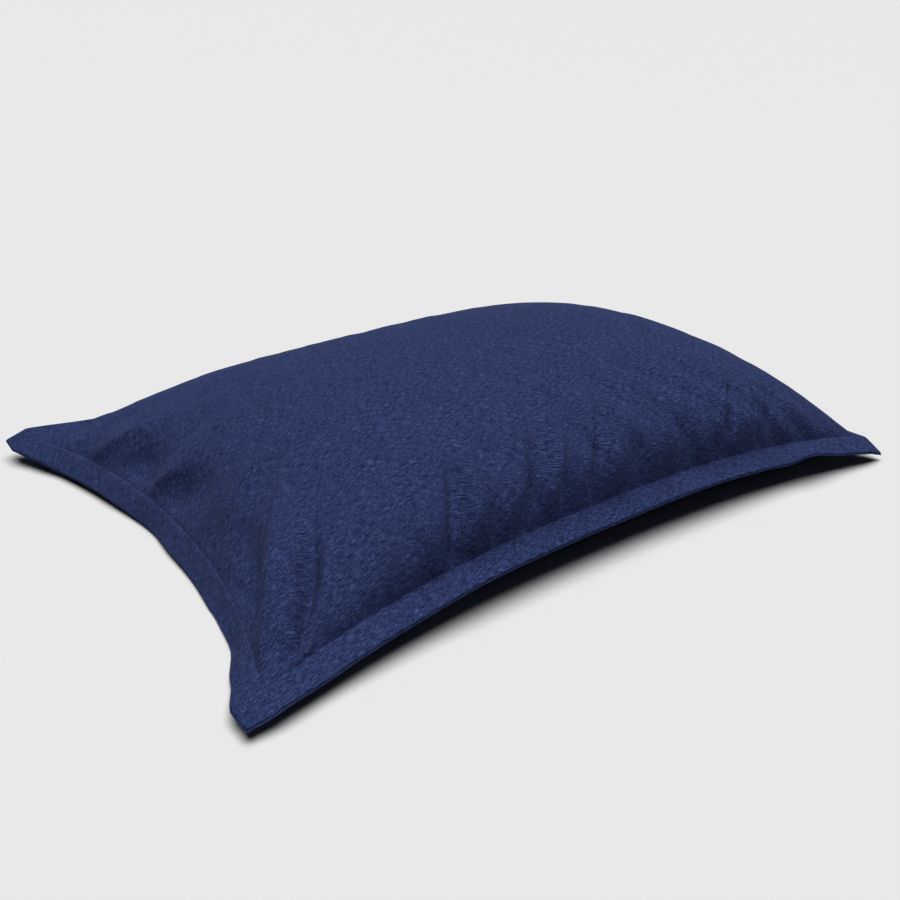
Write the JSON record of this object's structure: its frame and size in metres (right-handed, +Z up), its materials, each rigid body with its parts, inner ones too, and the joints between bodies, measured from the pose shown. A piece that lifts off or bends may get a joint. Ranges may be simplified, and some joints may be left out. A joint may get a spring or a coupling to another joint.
{
  "type": "giant floor bean bag",
  "caption": "Large filled rectangular floor cushion of plain woven cloth, with a flat stitched flange all round, for sitting or lying on.",
  "frame": {"origin": "on the floor, under the middle of the bounding box", "axes": "+X along the bag's length, +Y along its width away from the side that shows in the picture, +Z up through the crown"},
  "size_m": [1.7254, 1.3256, 0.3354],
  "materials": {
    "cloth": "matt navy melange plain weave"
  },
  "bodies": {
    "root": {"filled_bag": "cloth"}
  },
  "joints": []
}
